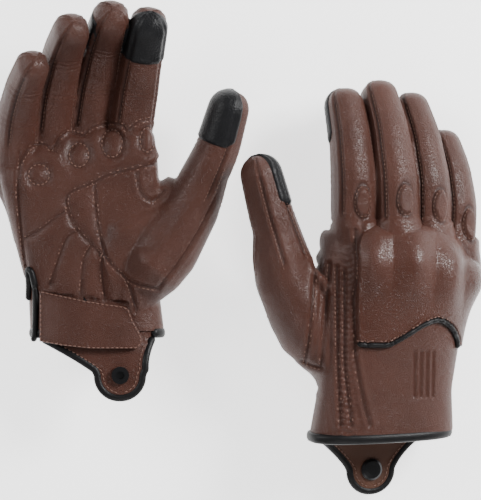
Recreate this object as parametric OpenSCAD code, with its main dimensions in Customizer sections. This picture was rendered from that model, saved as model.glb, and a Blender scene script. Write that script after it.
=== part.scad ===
// A pair of short leather riding gloves, lying side by side: one palm up, one palm down.
// Both are cut for the same hand. In a glove's own frame the thumb is at -X, the fingers run
// to +Y, the back of the hand faces +Z, and the origin is the middle of the cuff's back edge.

/* [Hand] */
// Width across the knuckles, outside
knuckle_w = 92; // [86:1:112]
// Width of the cuff, outside
cuff_w = 80; // [66:1:96]
// Thickness of the hand from back to palm
hand_t = 40; // [33:1:48]
// Length from the cuff's back edge to the finger roots
hand_l = 118; // [108:1:128]

/* [Fingers] */
// Stretch of all finger lengths
finger_stretch = 1.0; // [0.83:0.01:1.2]
// Half width of a finger at its root
finger_r = 12.2; // [10.2:0.1:12.3]
// Half width of the thumb at its root
thumb_r = 17; // [14.2:0.1:20.4]

/* [Leather] */
// Thickness of one layer of leather
leather = 1.4; // [1.1:0.1:1.7]
// Thickness of the lining
lining_t = 0.6; // [0.5:0.1:0.8]
// Clearance between layers that lie on each other
layer_gap = 0.3; // [0.2:0.05:0.4]
// Clearance where two stalls meet at a flexing joint
joint_gap = 0.5; // [0.4:0.1:0.8]

/* [Cuff and closure] */
// Width of the edge binding
binding_w = 4.4; // [3.6:0.1:5.3]
// Radius of the round piping
piping_r = 1.5; // [1.2:0.1:1.8]
// Width of the wrist strap
strap_w = 27; // [22:1:32]
// Thickness of each half of the touch fastener
hook_t = 0.8; // [0.6:0.1:1.0]
// Length of the pull tab below the cuff
tab_l = 35; // [29:1:42]
// Radius of the pull tab's round end
tab_r = 13; // [11:0.5:15.5]

/* [Snap] */
// Radius of the snap's cap
cap_r = 6.6; // [5.5:0.1:7.9]
// Height of the snap's cap
cap_h = 2.0; // [1.7:0.1:2.4]
// Radius of the socket ring
socket_r = 5.2; // [4.6:0.1:6.2]
// Radius of the socket's bore
socket_bore = 2.5; // [2.1:0.1:3.0]
// Height of the socket ring
socket_h = 2.4; // [2.2:0.1:2.9]

/* [Hidden] */
PARTS = ["back_panel", "cuff_panel", "palm_panel", "lining", "thumb_root", "thumb_base", "thumb_tip",
    "index_base", "index_tip", "middle_base", "middle_tip", "ring_base", "ring_tip", "little_base",
    "little_tip", "knuckle_guard", "knuckle_pads", "palm_pad", "cuff_binding", "cuff_piping",
    "wrist_strap", "strap_hook_patch", "strap_loop_patch", "strap_slot_trim", "pull_tab",
    "tab_binding", "snap_cap", "snap_socket", "index_touch_patch", "thumb_touch_patch"];
GLOVES = ["palmup", "palmdown"];

brown = "saddlebrown";
dark = "#262626";

// Where each glove lies: [turn about Z, tip about X, roll about Y, place].
LAY = [[0, 0, 185, [-84.9, -45.5, 25.05]], [0, 6, 18, [85.1, -105.5, 35.47]]];

// How far each soft tab leans towards the thumb side.
TAB_LEAN = [-13, 1];

// Fingers: [lengths to the middle joint, the last joint and the tip's centre; half width share].
FINGERS = ["index", "middle", "ring", "little"];
LENGTHS = [[26, 26, 20], [30, 30, 21], [28, 28, 20], [22, 22, 17]];
WIDTHS = [[1.0, 0.97, 0.78], [0.99, 0.96, 0.78], [0.95, 0.92, 0.75], [0.88, 0.84, 0.69]];
// How each finger lies, per glove: [root across, root along past hand_l, root height, lean, tilt, droop, bends].
STANCE = [
    [[-20, 2, -7, -7, 2, 14, [18, 16]], [5.5, 2, 0, -5, 8, 16, [22, 18]],
        [29, -1, -6, -1.2, 14, 20, [20, 16]], [50, -10, -14, 3.4, 20, 24, [18, 14]]],
    [[-14.5, 6, -7, 0.6, 4, 2, [12, 12]], [9.5, 4, 0, 1.2, 7, 6, [14, 14]],
        [32.8, 1, -6, 2, 14, 4, [16, 14]], [53.4, -8, -15, 5, 22, 2, [16, 14]]]];
THUMB_LENGTHS = [40, 40, 26];
THUMB_WIDTHS = [1.0, 0.83, 0.62];
THUMB_STANCE = [[-27.5, 41.2, -14, -40, -60, 0, [16, 12]], [-35, 54, -14, -22.3, -60, 0, [4, 6]]];

steps = 14;
flex_relief = 34;
stretch_relief = 5;

// ---- hand ----
hand_cx = [[-60, 0], [0.18 * hand_l, 0], [0.47 * hand_l, 5], [0.75 * hand_l, 11], [2 * hand_l, 12]];
hand_hw = [[-60, cuff_w / 2], [0, cuff_w / 2], [0.2 * hand_l, cuff_w / 2 - 3],
    [0.47 * hand_l, 0.45 * knuckle_w], [0.75 * hand_l, knuckle_w / 2], [2 * hand_l, knuckle_w / 2]];
hand_hh = [[-60, 0.48 * hand_t], [0, 0.48 * hand_t], [0.2 * hand_l, 0.45 * hand_t],
    [0.47 * hand_l, 0.5 * hand_t], [0.75 * hand_l, 0.52 * hand_t], [0.88 * hand_l, 0.46 * hand_t],
    [hand_l, 0.33 * hand_t]];
hand_arch = [[-60, 0], [0.18 * hand_l, 0], [0.75 * hand_l, 12], [hand_l, 15]];
roundness = 0.78;
thumb_top = 0.74 * hand_l;
thumb_foot = 0.18 * hand_l;
thumb_edge = 28;
cuff_seam = 0.44 * hand_l;

// The finger roots lie on a rim that falls away over the little finger.
rim_fall = 10;
function rim_drop(x, y) = rim_fall * ease((x - 24) / 34) * ease((y / hand_l - 0.72) / 0.28);
function rim(x) = hand_l - rim_drop(x, hand_l);

// Point on the hand at height y and angle a round it (0 little side, 90 back), sunk by d.
function hand_pt(y, a, d = 0) =
    let (hw = lookup(y, hand_hw) - d, hh = lookup(y, hand_hh) - d, c = cos(a), s = sin(a),
        x = hw * sign(c) * pow(abs(c), roundness), z = hh * sign(s) * pow(abs(s), roundness))
    let (px = lookup(y, hand_cx) + x) [px, y - rim_drop(px, y), z - lookup(y, hand_arch) * pow(x / hw, 2)];

// Point on the back (side 1) or palm (side -1) at x and y, sunk by d.
function face_pt(x, y, side, d = 0) =
    let (hw = lookup(y, hand_hw) - d, hh = lookup(y, hand_hh) - d,
        u = max(-0.98, min(0.98, (x - lookup(y, hand_cx)) / hw)))
    [x, y - rim_drop(x, y), side * hh * pow(1 - pow(abs(u), 2 / roundness), roundness / 2) - lookup(y, hand_arch) * u * u];

// The angle where the panels leave the thumb's opening: it widens between foot and top.
function opening(y) = thumb_edge * min(1, max(0, (y - thumb_foot) / 12), 1)
    * (y > thumb_top ? max(0, 1 - (y - thumb_top) / 4) : 1);

function span(a, b, n) = [for (i = [0 : n]) a + (b - a) * i / n];

// ---- solids from grids of points ----
function flat(rows) = [for (r = rows) each r];
function quad(a, b, c, d) = [[a, b, c], [a, c, d]];

// A thick sheet between two grids of the same size. wrap joins its sides, tip closes its far end.
module sheet(outer, inner, wrap = false, tip = false) {
    m = len(outer);
    n = len(outer[0]);
    off = m * n;
    cols = wrap ? n : n - 1;
    o = function (i, j) i * n + j % n;
    faces = [
        for (i = [0 : m - 2]) for (j = [0 : cols - 1]) each concat(
            quad(o(i, j), o(i, j + 1), o(i + 1, j + 1), o(i + 1, j)),
            quad(off + o(i, j), off + o(i + 1, j), off + o(i + 1, j + 1), off + o(i, j + 1))),
        for (j = [0 : cols - 1]) each concat(
            quad(o(0, j), off + o(0, j), off + o(0, j + 1), o(0, j + 1)),
            tip ? [] : quad(o(m - 1, j), o(m - 1, j + 1), off + o(m - 1, j + 1), off + o(m - 1, j))),
        for (j = [1 : n - 2]) if (tip) each [[o(m - 1, 0), o(m - 1, j), o(m - 1, j + 1)],
            [off + o(m - 1, 0), off + o(m - 1, j + 1), off + o(m - 1, j)]],
        for (i = [0 : m - 2]) if (!wrap) each concat(
            quad(o(i, 0), o(i + 1, 0), off + o(i + 1, 0), off + o(i, 0)),
            quad(o(i, n - 1), off + o(i, n - 1), off + o(i + 1, n - 1), o(i + 1, n - 1)))];
    polyhedron(concat(flat(outer), flat(inner)), faces);
}

// A round rod of radius r along points.
module rod(points, r, sides = 8) {
    m = len(points);
    rings = [for (i = [0 : m - 1])
        let (t = points[min(i + 1, m - 1)] - points[max(i - 1, 0)], f = t / norm(t),
            g = cross(f, abs(f.z) < 0.9 ? [0, 0, 1] : [1, 0, 0]), u = g / norm(g), v = cross(f, u))
        [for (k = [0 : sides - 1]) points[i] + r * (cos(360 * k / sides) * u + sin(360 * k / sides) * v)]];
    faces = [for (i = [0 : m - 2]) for (k = [0 : sides - 1]) each quad(i * sides + k,
            i * sides + (k + 1) % sides, (i + 1) * sides + (k + 1) % sides, (i + 1) * sides + k),
        [for (k = [sides - 1 : -1 : 0]) k], [for (k = [0 : sides - 1]) (m - 1) * sides + k]];
    polyhedron(flat(rings), [for (f = faces) [for (i = [len(f) - 1 : -1 : 0]) f[i]]]);
}

// ---- glove's place ----
function rot_x(a) = [[1, 0, 0], [0, cos(a), -sin(a)], [0, sin(a), cos(a)]];
function rot_y(a) = [[cos(a), 0, sin(a)], [0, 1, 0], [-sin(a), 0, cos(a)]];
function rot_z(a) = [[cos(a), -sin(a), 0], [sin(a), cos(a), 0], [0, 0, 1]];
function turned(g) = rot_z(LAY[g][0]) * rot_x(LAY[g][1]) * rot_y(LAY[g][2]);
function to_row(g, p) = turned(g) * p + LAY[g][3];

module place(g) {
    t = turned(g);
    p = LAY[g][3];
    multmatrix([for (i = [0 : 2]) [t[i][0], t[i][1], t[i][2], p[i]]]) children();
}

// ---- fingers and thumb ----
function ease(x) = let (t = max(0, min(1, x))) t * t * (3 - 2 * t);
function knots(f) = f < 4 ? LENGTHS[f] * finger_stretch : THUMB_LENGTHS;
function stance(g, f) = f < 4 ? STANCE[g][f] : THUMB_STANCE[g];
function knot_1(f) = knots(f)[0];
function knot_2(f) = knots(f)[0] + knots(f)[1];
function reach(f) = knots(f)[0] + knots(f)[1] + knots(f)[2];
// The finger bends at its middle joint, the thumb at its last one.
function hinge_s(f) = f < 4 ? knot_1(f) : knot_2(f);
function droop(g, f, s) = let (t = stance(g, f))
    t[5] + t[6][0] * ease((s - knot_1(f) + 10) / 20) + t[6][1] * ease((s - knot_2(f) + 9) / 18);
function half_width(f, s) = let (w = f < 4 ? WIDTHS[f] * finger_r : THUMB_WIDTHS * thumb_r)
    lookup(s, [[0, w[0]], [knot_1(f), w[1]], [reach(f), w[2]]]);
function finger_turn(g, f) = rot_z(-stance(g, f)[3]) * rot_y(stance(g, f)[4]);
function root(g, f) = let (t = stance(g, f)) [t[0], t[1] + (f < 4 ? hand_l : 0), t[2]];

// The centre line, stepped from the root: each entry is [distance, point in the finger's own plane].
line_step = 1;
function line(g, f) = let (n = ceil(reach(f) / line_step))
    [for (i = 0, y = 0, z = 0; i <= n; y = y + line_step * cos(droop(g, f, i * line_step)),
        z = z - line_step * sin(droop(g, f, i * line_step)), i = i + 1) [i * line_step, y, z]];
function centre(g, f, s, l) =
    let (i = max(0, min(len(l) - 2, floor(s / line_step))), p = l[i] + (l[i + 1] - l[i]) * (s / line_step - i))
    root(g, f) + finger_turn(g, f) * [0, p[1], p[2]];
function across(g, f) = finger_turn(g, f) * [1, 0, 0];
function along(g, f, s) = finger_turn(g, f) * [0, cos(droop(g, f, s)), -sin(droop(g, f, s))];
function upward(g, f, s) = finger_turn(g, f) * [0, sin(droop(g, f, s)), cos(droop(g, f, s))];

// One ring of a stall at distance s, radius r. cut is 1 or -1 at a flexing joint, which leaves
// a wedge on the palm side for the bend and a smaller one on the back, and 0 elsewhere.
function stall_ring(g, f, s, r, l, cut = 0) =
    let (c = centre(g, f, s, l), u = across(g, f), v = upward(g, f, s), t = along(g, f, s))
    [for (k = [0 : steps - 1]) let (a = -360 * k / steps, h = 1.05 * r * sin(a),
        back = joint_gap / 2 + (h < 0 ? -h * tan(flex_relief) : h * tan(stretch_relief)))
        c + r * cos(a) * u + h * v + cut * back * t];

// The same ring, slid along the stall onto the edge it is sewn to: the rim, or the thumb's mouth.
function seam_ring(g, f, s, r, l) = let (t = along(g, f, s))
    [for (p = stall_ring(g, f, s, r, l))
        p + t * (((f < 4 ? rim(p.x) : thumb_top) + layer_gap - p.y) / t.y)];

// The tube from the root to the flexing joint.
module stall_base(g, f) {
    l = line(g, f);
    from = f < 4 ? 0 : mouth_s(g, l);
    at = [for (t = [0, 0.42, 0.7]) from + (hinge_s(f) - from) * t];
    rings = function (d) concat([seam_ring(g, f, from, half_width(f, from) - d, l)],
        [for (i = [1, 2]) stall_ring(g, f, at[i], half_width(f, at[i]) - d, l, i == 2 ? -0.6 : 0)],
        [stall_ring(g, f, hinge_s(f), half_width(f, hinge_s(f)) - d, l, -1)]);
    sheet(rings(0), rings(leather), wrap = true);
}

// The closed stall beyond the flexing joint.
module stall_tip(g, f) {
    l = line(g, f);
    sheet(tip_rings(g, f, 0, l), tip_rings(g, f, leather, l), wrap = true, tip = true);
}

// Rings from the joint to the tip, the last four rounding it off beyond the centre line's end.
function tip_rings(g, f, d, l) =
    let (h = hinge_s(f), e = reach(f), r = half_width(f, e) - d, t = along(g, f, e))
    concat([stall_ring(g, f, h, half_width(f, h) - d, l, 1)],
        [stall_ring(g, f, h + 3, half_width(f, h) - d, l, 0.7)],
        [for (q = [0.37, 0.565, 0.76]) stall_ring(g, f, h + (e - h) * q, half_width(f, h + (e - h) * q) - d, l)],
        [for (a = [0, 32, 58, 78]) [for (p = stall_ring(g, f, e, r * cos(a), l)) p + r * sin(a) * t]]);

// A patch lying on a stall between distances s0 and s1 and ring angles a0 and a1, raised by d0 to d1.
module stall_patch(g, f, s0, s1, a0, a1, d0, d1, rounding = 0) {
    l = line(g, f);
    rows = span(-1, 1, 6);
    grid = function (d) [for (w = rows) let (s = (s0 + s1) / 2 + (s1 - s0) / 2 * w,
            k = sqrt(1 - rounding * w * w * 0.98), r = half_width(f, s) + d,
            c = centre(g, f, s, l), u = across(g, f), v = upward(g, f, s))
        [for (a = span((a0 + a1) / 2 + (a1 - a0) / 2 * k, (a0 + a1) / 2 - (a1 - a0) / 2 * k, 6))
            c + r * cos(a) * u + 1.05 * r * sin(a) * v]];
    sheet(grid(d1), grid(d0));
}

// ---- panels ----
module back_panel() {
    rows = concat(span(cuff_seam + layer_gap, thumb_top, 5), [thumb_top + 4, 0.88 * hand_l, hand_l]);
    grid = function (d) [for (y = rows) [for (a = span(180 - opening(y) - 0.6, 0, 16)) hand_pt(y, a, d)]];
    sheet(grid(0), grid(leather));
}

module cuff_panel() {
    rows = [0, thumb_foot, thumb_foot + 12, cuff_seam];
    grid = function (d) [for (y = rows) [for (a = span(180 - opening(y) - 0.6, 0, 16)) hand_pt(y, a, d)]];
    sheet(grid(0), grid(leather));
}

module palm_panel() {
    rows = concat([-binding_w, 0], span(thumb_foot, thumb_top, 5), [thumb_top + 4, 0.88 * hand_l, hand_l]);
    grid = function (d) [for (y = rows) [for (a = span(359.4, 180 + opening(y) * 1.25, 16)) hand_pt(y, a, d)]];
    sheet(grid(0), grid(leather));
}

// The lining stops where the thumb opens out of the hand on that side.
module lining() {
    rows = concat([1], span(thumb_foot - 1, thumb_top, 4), [thumb_top + 5, 0.88 * hand_l, hand_l - 1]);
    grid = function (d) [for (y = rows) [for (a = span(180 - opening(y) - 4, opening(y) * 1.25 - 176, 24))
        hand_pt(y, a, leather + layer_gap + 0.2 + d)]];
    sheet(grid(0), grid(lining_t));
}

// Distance along the thumb where its centre comes out past the top of the opening.
function mouth_s(g, l) = lookup(thumb_top, [for (p = l)
    [root(g, 4).y + (finger_turn(g, 4) * [0, p[1], p[2]]).y, p[0]]]);

// The ball of the thumb: it swells out of the opening from its foot up to the thumb's mouth.
module thumb_root(g) {
    l = line(g, 4);
    m = mouth_s(g, l);
    ring = seam_ring(g, 4, m, half_width(4, m), l);
    out_x = min([for (p = ring) p.x]);
    mid_z = ring[0].z / 2 + ring[steps / 2].z / 2;
    swell = [[thumb_foot, 0], [thumb_foot + 0.2 * (thumb_top - thumb_foot), 0.3],
        [thumb_foot + 0.55 * (thumb_top - thumb_foot), 0.74], [thumb_top, 1]];
    rows = span(thumb_foot + 2, thumb_top, 6);
    grid = function (d) [for (y = rows)
        let (t = hand_pt(y, 180 - opening(y) + 0.6, d), p = hand_pt(y, 180 + opening(y) * 1.25 - 0.6, d),
            w = lookup(y, swell), x = min(t.x - 1, -lookup(y, hand_hw) + lookup(y, hand_cx) + d
                + w * (out_x - lookup(thumb_top, hand_cx) + lookup(thumb_top, hand_hw))))
        [for (b = span(180, 0, 12)) let (e = t + (p - t) * (1 - cos(b)) / 2)
            [e.x - (e.x - x) * sin(b), y, e.z + w * (mid_z - (t.z + p.z) / 2) * sin(b)]]];
    sheet(grid(0), grid(leather));
}

// ---- armour and padding ----
// The moulded guard: four bosses over the knuckles on a smooth cap.
function boss(x, y) = let (tops = [[-18, 100], [4, 103], [27, 102], [47, 101]])
    max([for (t = tops) 5 * exp(-pow((x - t[0]) / 8.5, 2) - pow((y - t[1] * hand_l / 118) / 13, 2))]);
module knuckle_guard() {
    rows = concat(span(0.6 * hand_l, 0.88 * hand_l, 5), [0.94 * hand_l, hand_l - 1]);
    grid = function (d) [for (y = rows) let (c = lookup(y, hand_cx), w = 0.86 * lookup(y, hand_hw))
        [for (x = span(c - w + 8, c + w, 14)) face_pt(x, y, 1, -d - (d > layer_gap ? boss(x, y) : 0))]];
    sheet(grid(layer_gap + 2), grid(layer_gap));
}

module knuckle_pads(g) {
    for (f = [0 : 3])
        stall_patch(g, f, 0.24 * knot_1(f), 0.86 * knot_1(f), 62, 118, layer_gap, 2.4, 1);
}

module palm_pad() {
    across_xs = span(-26, 50, 10);
    top = function (d) [for (y = concat(span(0.66 * hand_l, 0.88 * hand_l, 3), [hand_l - 2])) [for (x = across_xs) face_pt(x, y, -1, -d)]];
    heel = function (d) [for (y = span(0.27 * hand_l, 0.64 * hand_l, 5)) let (h = 22 * y / hand_l)
        [for (x = span(34 + h * 0.6, -12 + h, 7)) face_pt(x, y, -1, -d)]];
    low = layer_gap + 0.5;
    sheet(grid_turned(top(low + leather)), grid_turned(top(low)));
    sheet(heel(low + leather), heel(low));
}
function grid_turned(rows) = [for (r = rows) [for (i = [len(r) - 1 : -1 : 0]) r[i]]];

// ---- cuff ----
module cuff_binding() {
    rows = [-binding_w, -binding_w * 0.5, -layer_gap];
    grid = function (d) [for (y = rows) [for (a = span(179.4, 0.6, 16)) hand_pt(y, a, d)]];
    sheet(grid(-1), grid(leather + 1));
}

// The piping sweeps across the back in a wave, highest over the root of the little finger.
module cuff_piping() {
    lift = piping_r + layer_gap + 0.3;
    wave = [[0, 0], [0.2, 0], [0.38, 4], [0.55, 10], [0.68, 14], [0.8, 13], [0.92, 6], [1, -3]];
    points = [for (u = span(0, 1, 18)) let (y = cuff_seam + lift + lookup(u, wave) * hand_l / 118,
            x0 = -19, x1 = lookup(y, hand_cx) + 0.93 * lookup(y, hand_hw))
        face_pt(x0 + (x1 - x0) * u, y, 1, -lift)];
    rod(points, piping_r);
}

// ---- strap ----
strap_low = -6;
strap_x0 = -18;
strap_x1 = 33;
strap_rise = 2 * (hook_t + layer_gap) + layer_gap;
// A sheet over the heel of the hand: its ends slant like the strap's, inset by m from the strap's edges.
module strap_sheet(x0, x1, m, d0, d1) {
    xs = [for (x = [floor(x1 / 3) * 3 : -3 : x0 + 1]) x];
    across = concat(floor(x1 / 3) * 3 < x1 ? [x1] : [], xs, [x0]);
    grid = function (d) [for (v = span(0, 1, 4)) [for (x = across)
        let (u = (strap_x1 - x) / (strap_x1 - strap_x0), lo = strap_low - 3 * u + m,
            hi = strap_low + strap_w + 1 - 7 * u - m, k = max(0, 1 - (x - x0) / 9))
        face_pt(x - 9 * k * (1 - v) * (1 - v * 0.4), lo + (hi - lo) * v, -1, -d)]];
    sheet(grid(d1), grid(d0));
}
module wrist_strap() {
    strap_sheet(strap_x0, strap_x1, 0, strap_rise, strap_rise + leather);
}
module strap_hook_patch() {
    strap_sheet(strap_x0 + 3, strap_x0 + 24, 2.5, hook_t + 2 * layer_gap, 2 * (hook_t + layer_gap));
}
module strap_loop_patch() {
    strap_sheet(strap_x0 + 3, strap_x1 - 8, 2.5, layer_gap, layer_gap + hook_t);
}
module strap_slot_trim() {
    points = [for (t = [0 : 10]) let (u = t / 10, y = -binding_w + 1 + (strap_w + 6) * u)
        face_pt(strap_x1 + 2.5 + piping_r - 1.5 + 2 * u * u, y, -1, -piping_r - layer_gap - 0.3)];
    rod(points, piping_r);
}

// ---- pull tab and snap ----
tab_top = -binding_w - 2 * joint_gap;
tab_end = tab_top - tab_l;
snap_y = tab_end + tab_r + 0.5;
// Half width of the tab at height y: wide at the cuff, a neck, then a round end.
function tab_half(y) = let (t = (y - tab_end) / tab_l)
    y < tab_end + tab_r ? sqrt(max(0.01, pow(tab_r, 2) - pow(y - tab_end - tab_r, 2)))
        : tab_r + (cuff_w / 2 - 8 - tab_r) * pow((y - tab_end - tab_r) / (tab_l - tab_r), 1.4);
function tab_mid(g, y) = TAB_LEAN[g] * min(1, max(0, tab_top - y) / 18);
// The tab starts on the curve of the palm's edge and flattens towards its end; sunk by d.
function tab_pt(g, x, y, d) = let (p = face_pt(x, y, -1, d), q = face_pt(TAB_LEAN[g], y, -1, d),
    w = ease((tab_top - y) / 16)) [x, y, p.z + (q.z - p.z) * w];
module pull_tab(g) {
    rows = concat([for (a = [80, 62, 40, 18]) tab_end + tab_r * (1 - sin(a))], span(tab_end + tab_r, tab_top, 6));
    grid = function (d) [for (y = rows) [for (x = span(tab_mid(g, y) + tab_half(y) - 0.2,
        tab_mid(g, y) - tab_half(y) + 0.2, 8)) tab_pt(g, x, y, d)]];
    sheet(grid(0), grid(2 * leather));
}

module tab_binding(g) {
    r = binding_w / 2 - 0.2;
    edge = concat(span(tab_top - 0.3, tab_end + tab_r, 8), [for (a = [20, 45, 70]) tab_end + tab_r * (1 - sin(a))]);
    out = r + 0.5;
    side = function (k) [for (y = edge) let (w = tab_half(y), q = y < tab_end + tab_r
            ? [w / tab_r, (y - tab_end - tab_r) / tab_r] : [cos(edge_turn(y)), -sin(edge_turn(y))])
        tab_pt(g, tab_mid(g, y) + k * (w + out * q[0]), y + out * q[1], leather)];
    low = tab_pt(g, TAB_LEAN[g], tab_end - out, leather);
    right = side(1);
    left = side(-1);
    rod(concat(right, [low], [for (i = [len(left) - 1 : -1 : 0]) left[i]]), r);
}
function edge_turn(y) = atan((tab_half(y + 0.5) - tab_half(y - 0.5)));

function snap_seat(g) = face_pt(TAB_LEAN[g], snap_y, -1, 0);
module snap_cap(g) {
    s = snap_seat(g);
    translate([s.x, s.y, s.z + 2 * leather + layer_gap]) rotate_extrude($fn = 40)
        polygon([[0, 0], [cap_r, 0], [cap_r, 0.35 * cap_h], [0.8 * cap_r, 0.8 * cap_h],
            [0.45 * cap_r, cap_h], [0, cap_h]]);
}
module snap_socket(g) {
    s = snap_seat(g);
    translate([s.x, s.y, s.z - layer_gap - socket_h]) difference() {
        cylinder(r = socket_r, h = socket_h, $fn = 40);
        translate([0, 0, -1]) cylinder(r = socket_bore, h = socket_h - 0.4 + 1, $fn = 40);
    }
}

// ---- touch patches ----
module touch_patch(g, f) {
    h = hinge_s(f);
    e = reach(f);
    stall_patch(g, f, f < 4 ? h + 0.5 * (e - h) : h + 5, e, 205, 335, layer_gap + 0.2, layer_gap + 1);
}

module piece(g, p) {
    if (p == "back_panel") color(brown) place(g) back_panel();
    if (p == "cuff_panel") color(brown) place(g) cuff_panel();
    if (p == "palm_panel") color(brown) place(g) palm_panel();
    if (p == "lining") color("tan") place(g) lining();
    if (p == "thumb_root") color(brown) place(g) thumb_root(g);
    if (p == "thumb_base") color(brown) place(g) stall_base(g, 4);
    if (p == "thumb_tip") color(brown) place(g) stall_tip(g, 4);
    for (f = [0 : 3]) {
        if (p == str(FINGERS[f], "_base")) color(brown) place(g) stall_base(g, f);
        if (p == str(FINGERS[f], "_tip")) color(brown) place(g) stall_tip(g, f);
    }
    if (p == "knuckle_guard") color(brown) place(g) knuckle_guard();
    if (p == "knuckle_pads") color(brown) place(g) knuckle_pads(g);
    if (p == "palm_pad") color(brown) place(g) palm_pad();
    if (p == "cuff_binding") color(dark) place(g) cuff_binding();
    if (p == "cuff_piping") color(dark) place(g) cuff_piping();
    if (p == "wrist_strap") color(brown) place(g) wrist_strap();
    if (p == "strap_hook_patch") color(dark) place(g) strap_hook_patch();
    if (p == "strap_loop_patch") color(dark) place(g) strap_loop_patch();
    if (p == "strap_slot_trim") color(dark) place(g) strap_slot_trim();
    if (p == "pull_tab") color(brown) place(g) pull_tab(g);
    if (p == "tab_binding") color(dark) place(g) tab_binding(g);
    if (p == "snap_cap") color(dark) place(g) snap_cap(g);
    if (p == "snap_socket") color(dark) place(g) snap_socket(g);
    if (p == "index_touch_patch") color(dark) place(g) touch_patch(g, 0);
    if (p == "thumb_touch_patch") color(dark) place(g) touch_patch(g, 4);
}

for (g = [0 : 1])
    for (p = PARTS)
        piece(g, p);
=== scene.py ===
import bpy
import numpy as np
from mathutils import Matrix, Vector
from mathutils.bvhtree import BVHTree


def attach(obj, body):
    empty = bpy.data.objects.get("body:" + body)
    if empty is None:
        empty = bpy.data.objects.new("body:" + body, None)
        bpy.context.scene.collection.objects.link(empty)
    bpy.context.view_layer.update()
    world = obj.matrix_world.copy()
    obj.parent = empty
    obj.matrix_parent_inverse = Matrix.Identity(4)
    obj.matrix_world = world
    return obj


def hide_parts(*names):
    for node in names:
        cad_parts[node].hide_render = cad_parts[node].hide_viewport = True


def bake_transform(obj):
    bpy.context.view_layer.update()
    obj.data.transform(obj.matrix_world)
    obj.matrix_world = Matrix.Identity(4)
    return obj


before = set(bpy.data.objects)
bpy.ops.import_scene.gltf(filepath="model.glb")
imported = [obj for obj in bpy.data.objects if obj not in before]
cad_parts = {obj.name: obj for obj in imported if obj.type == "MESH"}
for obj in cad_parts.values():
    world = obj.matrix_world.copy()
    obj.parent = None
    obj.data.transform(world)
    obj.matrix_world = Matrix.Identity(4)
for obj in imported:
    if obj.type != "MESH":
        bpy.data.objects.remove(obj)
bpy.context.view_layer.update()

# Studio: a plain pale floor under a large soft sky, a broad key lamp over the fingers and two
# weaker fills. The camera looks straight down on the gloves from high up.
MM = 0.001
floor_mesh = bpy.data.meshes.new("floor")
floor_mesh.from_pydata([(-3, -3, -0.0004), (3, -3, -0.0004), (3, 3, -0.0004), (-3, 3, -0.0004)], [],
    [(0, 1, 2, 3)])
floor = bpy.data.objects.new("floor", floor_mesh)
bpy.context.collection.objects.link(floor)
floor_paint = bpy.data.materials.new("pale_floor")
floor_paint.use_nodes = True
paint = floor_paint.node_tree.nodes["Principled BSDF"].inputs
paint["Base Color"].default_value = (0.93, 0.93, 0.93, 1)
paint["Roughness"].default_value = 0.8
paint["Emission Color"].default_value = (1, 1, 1, 1)
paint["Emission Strength"].default_value = 1.9
floor_mesh.materials.append(floor_paint)

sky = bpy.context.scene.world or bpy.data.worlds.new("sky")
bpy.context.scene.world = sky
sky.use_nodes = True
glow = sky.node_tree.nodes["Background"].inputs
glow["Color"].default_value = (1, 1, 1, 1)
glow["Strength"].default_value = 0.28


def soft_lamp(name, place, target, size, watts):
    """A square area lamp at place, in metres, turned so that its light falls on target."""
    lamp = bpy.data.lights.new(name, "AREA")
    lamp.size, lamp.energy = size, watts
    holder = bpy.data.objects.new(name, lamp)
    holder.location = place
    holder.rotation_euler = (Vector(target) - Vector(place)).to_track_quat("-Z", "Y").to_euler()
    bpy.context.collection.objects.link(holder)


soft_lamp("key", (0.80, 0.42, 0.62), (0, 0, 0.02), 0.34, 18)
soft_lamp("fill_left", (-0.9, 0.45, 0.7), (0, 0, 0.02), 0.7, 9)
soft_lamp("fill_front", (0.1, -0.9, 0.7), (0, 0, 0.02), 0.7, 4)

lens = bpy.data.cameras.new("camera")
lens.lens, lens.sensor_width = 200, 36
camera = bpy.data.objects.new("camera", lens)
camera.location = (0.0016, 0.00245, 0.035 + 200 / 36 * 0.300)
bpy.context.collection.objects.link(camera)
bpy.context.scene.camera = camera

# The hand in each glove: both gloves are the same right-hand pattern, one lying on its back and
# one on its palm, and the soft leather keeps the curl that the fingers had when it was last worn.
# Lengths are millimetres in the glove's own frame: thumb at -X, fingers +Y, back of the hand +Z.
LAY = {"palmup": (0, 185, (-84.9, -45.5, 25.05)), "palmdown": (6, 18, (85.1, -105.5, 35.47))}
FINGERS = ("index", "middle", "ring", "little", "thumb")
LENGTHS = {"index": (26, 26, 20), "middle": (30, 30, 21), "ring": (28, 28, 20),
    "little": (22, 22, 17),
           "thumb": (40, 40, 26)}
WIDTHS = {"index": (12.8, 12.7, 10.6), "middle": (12.9, 12.7, 10.6), "ring": (12.5, 12.2, 10.2),
          "little": (11.6, 11.2, 9.4), "thumb": (17.5, 14.2, 11.2)}
# root, lean outwards, tilt, droop at the root, and the bends at the two joints, in degrees
STANCE = {
    "palmup": {"index": ((-20, 120, -7), -7, 2, 14, (18, 16)),
    "middle": ((5.5, 120, 0), -5, 8, 16, (22, 18)),
               "ring": ((29, 117, -6), -1.2, 14, 20, (20, 16)),
               "little": ((50, 108, -14), 3.4, 20, 24, (18, 14)),
               "thumb": ((-27.5, 41.2, -14), -40, -60, 0, (16, 12))},
    "palmdown": {"index": ((-14.5, 124, -7), 0.6, 4, 2, (12, 12)),
    "middle": ((9.5, 122, 0), 1.2, 7, 6, (14, 14)),
                 "ring": ((32.8, 119, -6), 2, 14, 4, (16, 14)),
                 "little": ((53.4, 110, -15), 5, 22, 2, (16, 14)),
                 "thumb": ((-35, 54, -14), -22.3, -60, 0, (4, 6))}}
HAND_L = 118
OVAL_POWER = 0.78
SECTION_Y = np.array([-60, 0, 24, 55, 88, 104, 118])
SECTION_X = {"palmup": np.array([0, 0, 2, 6, 11, 11.4, 11.6]),
    "palmdown": np.array([1.2, 1.2, 3, 7, 13, 12.5, 12])}
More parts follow.
